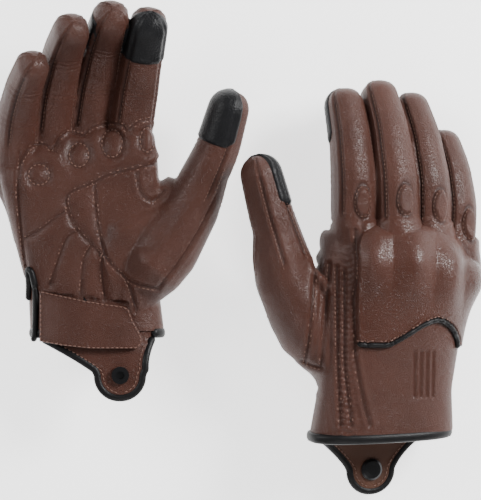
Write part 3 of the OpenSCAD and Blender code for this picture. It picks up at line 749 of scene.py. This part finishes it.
def stitches(runs, pitch=2.8, length=1.9, radius=0.37):
    """Threads for runs of (points, normals): a five-sided rod of four rings at each even step."""
    rods = []
    for at, normal in runs:
        run = run_of(at)
        if run[-1] < 2 * pitch:
            continue
        mids = np.arange(pitch / 2, run[-1] - pitch / 2, pitch)
        mids = mids[np.diff(run)[np.searchsorted(run, mids) - 1] < 2.6]
        if not len(mids):
            continue
        up = sample(normal, run, mids)
        up /= np.linalg.norm(up, axis=1, keepdims=True)
        spots = [sample(at, run, mids + f * length / 2) + up * h for f,
            h in ((-1, -0.12), (-0.55, 0.2), (0.55, 0.2), (1, -0.12))]
        whole = np.linalg.norm(spots[3] - spots[0], axis=1) < 1.5 * length
        if not whole.any():
            continue
        spots, up = [v[whole] for v in spots], up[whole]
        ahead = spots[3] - spots[0]
        ahead /= np.maximum(np.linalg.norm(ahead, axis=1, keepdims=True), 1e-6)
        side = np.cross(ahead, up)
        a = np.linspace(0, 2 * np.pi, 5, endpoint=False)
        ring = side[:, None] * np.cos(a)[:, None] + up[:, None] * np.sin(a)[:, None]
        rods.append(np.stack([p[:, None] + ring * radius * w for p,
            w in zip(spots, (0.45, 1, 1, 0.45))], 1))
    rods = np.concatenate(rods)
    count = len(rods)
    i, j = np.meshgrid(np.arange(3), np.arange(5), indexing="ij")
    k = (j + 1) % 5
    side = np.stack((i * 5 + j, i * 5 + k, (i + 1) * 5 + k, (i + 1) * 5 + j), -1).reshape(-1, 4)
    quads = (side[None] + 20 * np.arange(count)[:, None, None]).reshape(-1, 4).tolist()
    ends = (np.array(((4, 3, 2, 1, 0), (15, 16, 17, 18, 19)))[None] + 20
        * np.arange(count)[:, None, None]).reshape(-1, 5)
    return rods.reshape(-1, 3), quads + ends.tolist()


def beside(at, normal, gap):
    """The same run moved sideways over the skin."""
    ahead = np.gradient(at, axis=0)
    side = np.cross(ahead, normal)
    return at + gap * side / np.maximum(np.linalg.norm(side, axis=1, keepdims=True), 1e-6), normal


DOUBLE = ("scallop", "band", "heel_edge", "thumb_panel", "gather_outer", "gather_middle")
for glove in LAY:
    runs = []
    for drawn_over, lines in (("palmdown", back_lines), ("palmup", palm_lines)):
        for name, line in lines.items():
            at, normal, good = on_skin(glove, drawn_over, line)
            if good.sum() < 6:
                continue
            at, normal = at[good], normal[good]
            for gap in ((-1.3, 1.3) if name in DOUBLE else (-0.3,) if name.startswith("oval") else (1.2,)):
                runs.append(beside(at, normal, gap))
    at, normal, good = on_skin(glove, "palmdown", piping_line)
    runs.append(beside(at[good], normal[good], -2.6))
    sewn = grid_piece(glove + "_hand_stitching", *stitches(runs), THREAD, glove)
    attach(sewn, glove + "_hand")
    for f in FINGERS:
        line, runs = LINES[glove][f], []
        rows = np.arange(50 if f == "thumb" else 6, len(line["s"]) - 1)
        angles = [(a, 4.5) for a in (STALL_SEAMS if f != "thumb" else THUMB_SEAMS)]
        for angle, off in angles:
            a = np.radians(angle + (off if angle % 180 < 90 else -off))
            way = line["across"][rows] * np.cos(a) + line["up"][rows] * np.sin(a)
            at, normal, good = cast(SKIN[glove]["tree"], line["at"][rows], way)
            good &= np.linalg.norm(at - line["at"][rows], axis=1) < 1.25 * WIDTHS[f][0]
            runs.append((at[good], normal[good]))
        if f != "thumb":
            t = np.linspace(0, 2 * np.pi, 40)
            s = PAD_AT * LENGTHS[f][0] + 0.84 * PAD_HALF[0] * np.cos(t)
            a = np.radians(90) + 0.84 * PAD_HALF[1] * np.sin(t) / WIDTHS[f][0]
            pick = lambda v: sample(v, line["s"], s)
            way = pick(line["across"]) * np.cos(a)[:, None] + pick(line["up"]) * np.sin(a)[:, None]
            at, normal, good = cast(SKIN[glove]["tree"], pick(line["at"]), way)
            runs.append((at[good], normal[good]))
        sewn = grid_piece(f"{glove}_{f}_stitching", *stitches(runs, 2.5, 1.7, 0.22), THREAD, glove)
        follow_finger(sewn)

# Edge bindings and piping: a strip of soft black leather folded over the cuff's back edge and on
# round the pull tab, and thin black piping along the knuckle guard and beside the strap.
def black_finish(name, colour, roughness, cell, bump):
    """Black goods: a fine even grain of small cells with a little tone in it."""
    finish = bpy.data.materials.new(name)
    finish.use_nodes = True
    nodes, link = finish.node_tree.nodes, finish.node_tree.links.new
    node = lambda kind: nodes.new("ShaderNode" + kind)
    black = nodes["Principled BSDF"]
    black.inputs["Specular IOR Level"].default_value = 0.22
    black.inputs["Roughness"].default_value = roughness
    place = node("TexCoord")
    cells = node("TexVoronoi")
    cells.inputs["Scale"].default_value = cell
    cloud = node("TexNoise")
    cloud.inputs["Scale"].default_value = 120
    tone = node("Mix")
    tone.data_type = "RGBA"
    tone.inputs["A"].default_value = (*[c * 0.6 for c in colour], 1)
    tone.inputs["B"].default_value = (*[c * 1.5 for c in colour], 1)
    relief = node("Bump")
    relief.inputs["Strength"].default_value = bump
    relief.inputs["Distance"].default_value = 0.0003
    for giver, out, taker, into in (
            (place, "Object", cells, "Vector"), (place, "Object", cloud, "Vector"),
            (cloud, "Fac", tone, "Factor"), (tone, "Result", black, "Base Color"),
            (cells, "Distance", relief, "Height"), (relief, "Normal", black, "Normal")):
        link(giver.outputs[out], taker.inputs[into])
    return finish


BLACK = black_finish("black_binding_leather", (0.006, 0.0056, 0.006), 0.42, 1400, 0.35)


def rope(path, ups, half_w, half_h, count=10):
    """A rod with an oval section carried along a path: half_w across it and half_h along ups."""
    ahead = np.gradient(path, axis=0)
    ahead /= np.maximum(np.linalg.norm(ahead, axis=1, keepdims=True), 1e-9)
    side = np.cross(ahead, ups)
    side /= np.maximum(np.linalg.norm(side, axis=1, keepdims=True), 1e-9)
    ends = np.ones(len(path))
    ends[0] = ends[-1] = 0.3
    ends[1] = ends[-2] = 0.85
    rings = ring_grid(path, side, np.cross(side, ahead), half_w * ends, half_h * ends, count, 0.9)
    return closed_tube(rings)


def palm_z(glove, x, y, sunk=0.0):
    """Height of the palm side of the hand's oval section."""
    w = np.interp(y, SECTION_Y, SECTION_W[glove]) - sunk
    h = np.interp(y, SECTION_Y, SECTION_H) - sunk
    u = np.clip((x - np.interp(y, SECTION_Y, SECTION_X[glove])) / w, -0.98, 0.98)
    return -h * (1 - np.abs(u) ** 2.564) ** 0.39 - np.interp(y, SECTION_Y, SECTION_ARCH) * u ** 2


TAB_LEAN = {"palmup": -13, "palmdown": 1}
TAB_TOP, TAB_END, TAB_R = -5.4, -40.4, 13.0


def tab_half(y):
    """Half width of the pull tab: a round end, then a neck that widens to the whole cuff."""
    low = np.sqrt(np.maximum(TAB_R ** 2 - (y - TAB_END - TAB_R) ** 2, 0.01))
    t = np.clip((y - TAB_END - TAB_R) / (TAB_TOP - TAB_END - TAB_R), 0, 1)
    return np.where(y < TAB_END + TAB_R, low, TAB_R + (32 - TAB_R) * t ** 1.4)


def tab_point(glove, x, y, sunk):
    """A point of the tab: on the palm's curve at the cuff, flat towards its end."""
    w = ease((TAB_TOP - y) / 16)
    z = palm_z(glove, x, y, sunk) * (1 - w) + palm_z(glove, TAB_LEAN[glove] + 0 * x, y, sunk) * w
    return np.stack((x, y, z), -1)


for glove in LAY:
    sides = np.radians(np.linspace(219, -39, 84))
    c, s = np.cos(sides), np.sin(sides)
    w, h = np.interp(-1.9, SECTION_Y, SECTION_W[glove]) - 0.7, 19.2 - 0.7
    ring = np.stack((w * squared(c), np.full(84, -1.9), h * squared(s)), 1)
    out = np.stack((c, 0 * c, s), 1)
    band = grid_piece(glove + "_cuff_binding_strip", *rope(ring, out, 3.0, 1.8), BLACK, glove)
    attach(band, glove + "_hand")
    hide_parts(glove + "_cuff_binding")
    # round the tab
    y = np.concatenate((np.linspace(TAB_TOP + 1.5, TAB_END + TAB_R, 26),
                        TAB_END + TAB_R - TAB_R * np.sin(np.radians(np.linspace(8, 88, 14)))))
    middle = TAB_LEAN[glove] * np.clip((TAB_TOP - y) / 18, 0, 1)
    right = tab_point(glove, middle + tab_half(y) + 0.4, y, 1.2)
    left = tab_point(glove, middle - tab_half(y) - 0.4, y, 1.2)
    edge = np.concatenate((right, left[::-1]))
    trim = grid_piece(glove + "_tab_binding_strip", *rope(edge,
        np.tile((0, 0, 1.0), (len(edge), 1)), 2.3, 1.9), BLACK, glove)
    follow(trim)
    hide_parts(glove + "_tab_binding")
    # piping of the guard
    at, normal, good = on_skin(glove, "palmdown", piping_line)
    pipe = grid_piece(glove + "_guard_piping", *rope(at[good] + 0.9 * normal[good], normal[good],
        1.6, 1.6), BLACK, glove)
    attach(pipe, glove + "_hand")
    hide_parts(glove + "_cuff_piping")
    # trim of the strap's slot
    slot_line = smooth_line([(-125.2, -47), (-125, -32), (-124.6, -18), (-124.8, -9.5),
        (-122.6, -11), (-120.8, -20), (-120.4, -28),
                             (-120.6, -41), (-121, -49), (-122.4, -52)])
    at, normal, good = on_skin(glove, "palmup", slot_line)
    trim = grid_piece(glove + "_slot_piping", *rope(at[good] + 0.9 * normal[good], normal[good],
        1.9, 1.8), BLACK, glove)
    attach(trim, glove + "_hand")
    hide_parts(glove + "_strap_slot_trim")

# Pull tab: two layers of leather sewn back to back, the inner one a softer tan, with a press
# fastener through its round end: a domed cap inside and a socket ring outside.
TAN = leather_finish("tan_tab_leather", (0.088, 0.034, 0.018), (0.060, 0.022, 0.011), 0.5, 1100,
    0.35)


def two_sided(top, bottom):
    """A closed sheet between two grids of the same size."""
    m, n = top.shape[:2]
    i, j = np.meshgrid(np.arange(m - 1), np.arange(n - 1), indexing="ij")
    q = np.stack((i * n + j, i * n + j + 1, (i + 1) * n + j + 1, (i + 1) * n + j), -1).reshape(-1,
        4)
    edge = np.concatenate((np.arange(n), np.arange(1, m) * n + n - 1, (m - 1) * n
        + np.arange(n - 2, -1, -1),
                           np.arange(m - 2, 0, -1) * n))
    rim = np.stack((edge, np.roll(edge, -1)), 1)
    wall = np.stack((rim[:, 1], rim[:, 0], rim[:, 0] + m * n, rim[:, 1] + m * n), 1)
    return np.concatenate((top.reshape(-1, 3), bottom.reshape(-1, 3))), np.concatenate((q,
        q[:, ::-1] + m * n, wall)).tolist()


def tab_layer(glove, outer, inner):
    """One layer of the tab between two depths below the palm's outside, from inside the cuff."""
    y = np.concatenate((np.linspace(6, TAB_TOP, 8), np.linspace(TAB_TOP - 1, TAB_END + TAB_R, 24),
                        TAB_END + TAB_R - TAB_R * np.sin(np.radians(np.linspace(8, 86, 12)))))[:,
                        None]
    half = np.where(y > TAB_TOP, 36.0, np.minimum(tab_half(y), 38.0))
    v = np.linspace(-1, 1, 33)[None]
    x = TAB_LEAN[glove] * np.clip((TAB_TOP - y) / 18, 0, 1) + half * v
    y = y + 0 * x
    sink = 1.2 * ease((y - TAB_TOP + 3) / 3)
    return two_sided(tab_point(glove, x, y, outer + sink), tab_point(glove, x, y, inner + sink))


for glove in LAY:
    for name, outer, inner, finish in (("outer", 0.1, 1.3, BROWN), ("inner", 1.32, 2.5, TAN)):
        layer = grid_piece(f"{glove}_tab_{name}_layer", *tab_layer(glove, outer, inner), finish,
            glove)
        follow(layer)
        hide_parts(glove + "_pull_tab")
    # thread round the tab, inside the binding
    y = np.concatenate((np.linspace(TAB_TOP - 3, TAB_END + TAB_R, 26),
                        TAB_END + TAB_R - (TAB_R - 3) * np.sin(np.radians(np.linspace(8, 88, 14)))))
    middle = TAB_LEAN[glove] * np.clip((TAB_TOP - y) / 18, 0, 1)
    inset = np.where(y < TAB_END + TAB_R, np.sqrt(np.maximum((TAB_R - 3) ** 2
        - (y - TAB_END - TAB_R) ** 2, 0)), tab_half(y) - 3)
    runs = []
    for depth, way in ((0.1, -1.0), (2.5, 1.0)):
        for side in (-1, 1):
            row = tab_point(glove, middle + side * inset, y, depth)
            runs.append((row, np.tile((0, 0, way), (len(row), 1))))
    sewn = grid_piece(glove + "_tab_stitching", *stitches(runs), THREAD, glove)
    follow(sewn)

# Wrist strap: a leather strap with a slanted end, sewn round its border, that closes on the heel
# of the hand with hook tape under it and loop tape sewn to the palm.
STRAP = [(-118.4, -21.95), (-104, -24.95), (-91.3, -27.75), (-78, -29.95), (-67.5, -31.35),
    (-64.8, -32.95), (-62.8, -39.15), (-58, -47.95),
         (-56.6, -51.95), (-59, -56.35), (-88, -56.15), (-104, -54.45), (-118.4, -52.05)]


def laid_sheet(glove, drawn_over, outline, rise, thick, rings=9, spokes=96, edge=0.25):
    """A sheet with the given outline over the skin: rings shrunk towards its middle, cast down onto
    the smoothed skin, raised by rise and thickened, with its rim rounded over."""
    outline = np.asarray(outline, float)
    closed = np.concatenate((outline, outline[:1]))
    run = run_of(closed)
    even = np.linspace(0, run[-1], spokes, endpoint=False)
    rim = sample(closed, run, even)
    middle = rim.mean(0)
    r = 1 - np.linspace(0, 1, rings + 1)[:-1] ** 1.6
    r = np.concatenate(([1.0, 1 - edge / 12], r[1:], [0.02]))
    flat = middle + (rim - middle)[None] * r[:, None, None]
    top = np.column_stack((flat.reshape(-1, 2), np.full(flat.size // 2, 140.0)))
    starts = to_glove(drawn_over, top)
    down = to_glove(drawn_over, top - (0, 0, 1)) - starts
    at, normal, good = cast(SKIN[glove]["calm"], starts, down)
    body = at.reshape(len(r), spokes, 3)
    out = -down.reshape(len(r), spokes, 3)
    low = body + out * rise
    puff = np.where(np.arange(len(r)) == 0, 0.55, 1.0)[:, None, None]
    high = low + out * thick * puff
    low = np.concatenate((low[:1] + out[:1] * thick * 0.3, low[1:]))
    rings_all = np.concatenate((low[::-1], high))
    points, faces = closed_tube(rings_all)
    return points, [f[::-1] for f in faces], high


HOOK = black_finish("black_hook_tape", (0.012, 0.012, 0.013), 0.85, 2600, 0.9)
LOOP = black_finish("black_loop_tape", (0.014, 0.014, 0.015), 0.95, 2000, 0.8)
for glove in LAY:
    skin = SKIN[glove]
    calm = relaxed(skin["at"], skin["quads"], 14)
    skin["calm"] = BVHTree.FromPolygons(calm.tolist(), skin["quads"].tolist())
    inner = np.asarray(STRAP) * 0.84 + np.asarray(STRAP).mean(0) * 0.16
    small = np.column_stack((np.clip(inner[:, 0], -92, 0), inner[:, 1]))
    for name, outline, rise, thick, finish, body, node, slot in (
            ("wrist_strap_leather", STRAP, 2.6, 1.7, BROWN, "_strap_end", "_wrist_strap",
            "brown_leather"),
            ("strap_hook_tape", small, 1.7, 0.85, HOOK, "_strap_end", "_strap_hook_patch",
            "hook_tape"),
            ("strap_loop_tape", inner, 0.5, 0.9, LOOP, "_hand", "_strap_loop_patch", "loop_tape")):
        points, faces, high = laid_sheet(glove, "palmup", outline, rise, thick)
        piece = grid_piece(f"{glove}_{name}", points, faces, finish, glove)
        if name.startswith("wrist"):
            follow(piece)
        else:
            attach(piece, glove + body)
        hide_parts(glove + node)
        if name.startswith("wrist"):
            border = high[2]
            up = to_glove("palmup", np.array(((0, 0, 1.0),))) - to_glove("palmup", np.zeros((1, 3)))
            border = np.concatenate((border, border[:1])) + up * 0.05
            sewn = grid_piece(glove + "_strap_stitching",
                *stitches([(border, np.tile(up, (len(border), 1)))]), THREAD, glove)
            follow(sewn)

# Touch patches: thin matt black leather caps over the pads of the index finger and the thumb.
PATCH = black_finish("black_touch_leather", (0.0065, 0.0065, 0.0075), 0.45, 900, 0.6)
for glove in LAY:
    for f, start, a0, a1 in (("index", 50, -184, 4), ("thumb", 85, -196, 12)):
        line = LINES[glove][f]
        end = len(line["s"]) - 1
        row = np.concatenate((np.linspace(start, end, 16), np.full(12, float(end))))
        lean = np.radians(np.concatenate((np.zeros(16), np.linspace(6, 88, 12))))
        pick = lambda v: sample(v, line["s"], row)
        a = np.radians(np.linspace(a0, a1, 40))
        round_end = ease((row - start) / 5)[:, None]
        a = np.radians((a0 + a1) / 2) + (a[None] - np.radians((a0 + a1) / 2)) * (0.8 + 0.2
            * round_end)
        out = (pick(line["across"])[:, None] * np.cos(a)[..., None] + pick(line["up"])[:, None]
            * np.sin(a)[..., None])
        way = out * np.cos(lean)[:, None, None] + pick(line["ahead"])[:, None] * np.sin(lean)[:,
            None, None]
        starts = np.repeat(pick(line["at"])[:, None], 40, 1)
        at, normal, good = cast(SKIN[glove]["tree"], starts.reshape(-1, 3), way.reshape(-1, 3))
        at, way = at.reshape(28, 40, 3), way.reshape(28, 40, 3)
        v = np.abs(np.linspace(-1, 1, 40))
        rise = (0.75 * (1 - ease((v - 0.9) / 0.1)) + 0.1)[None, :, None] * (0.25 + 0.75
            * ease((row - start) / 1.2))[:, None, None]
        patch = grid_piece(f"{glove}_{f}_touch_pad", *two_sided(at + way * rise, at - way * 0.4),
            PATCH, glove)
        follow_finger(patch)
        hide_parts(f"{glove}_{f}_touch_patch")

# Lining: a thin knitted sock inside the hand, seen through the open cuff, turned in under the binding.
KNIT = black_finish("knitted_lining", (0.10, 0.055, 0.035), 0.9, 1500, 0.8)
for glove in LAY:
    y = np.concatenate((np.linspace(-1.5, 84, 30), (90, 94, 96, 97)))
    shrink = np.concatenate((np.zeros(30), (2, 6, 11, 16.5)))
    a = np.linspace(0, 2 * np.pi, 72, endpoint=False)
    c, s = np.cos(a), np.sin(a)
    w, h = np.interp(y, SECTION_Y, SECTION_W[glove]) - 2.6 - shrink * 1.6, np.maximum(np.interp(y,
        SECTION_Y, SECTION_H) - 2.8 - shrink, 0.8)
    u = squared(c)
    x = np.interp(y, SECTION_Y, SECTION_X[glove])[:, None] + w[:, None] * u
    z = h[:, None] * squared(s) - np.interp(y, SECTION_Y, SECTION_ARCH)[:, None] * u ** 2
    rings = np.stack((x, np.repeat(y[:, None], 72, 1), z), -1)
    i, j = np.meshgrid(np.arange(len(y) - 1), np.arange(72), indexing="ij")
    k = (j + 1) % 72
    quads = np.stack((i * 72 + j, (i + 1) * 72 + j, (i + 1) * 72 + k, i * 72 + k), -1).reshape(-1,
        4).tolist()
    sock = grid_piece(glove + "_hand_lining", rings.reshape(-1, 3),
        [*quads, list(range((len(y) - 1) * 72, len(y) * 72))[::-1]], KNIT, glove)
    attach(sock, glove + "_hand")
    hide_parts(glove + "_lining")

# Press fastener: the cap and the socket are plain turned steel with black enamel, kept as built.
ENAMEL = bpy.data.materials.new("black_enamel")
ENAMEL.use_nodes = True
enamel = ENAMEL.node_tree.nodes["Principled BSDF"]
enamel.inputs["Base Color"].default_value = (0.008, 0.008, 0.009, 1)
enamel.inputs["Metallic"].default_value = 0.4
wear = ENAMEL.node_tree.nodes.new("ShaderNodeTexNoise")
wear.inputs["Scale"].default_value = 300
gloss = ENAMEL.node_tree.nodes.new("ShaderNodeMapRange")
gloss.inputs["To Min"].default_value, gloss.inputs["To Max"].default_value = 0.22, 0.38
ENAMEL.node_tree.links.new(wear.outputs["Fac"], gloss.inputs["Value"])
ENAMEL.node_tree.links.new(gloss.outputs["Result"], enamel.inputs["Roughness"])
for glove in LAY:
    for node in ("_snap_cap", "_snap_socket"):
        part = bpy.data.objects[glove + node]
        part.data.materials.clear()
        part.data.materials.append(ENAMEL)
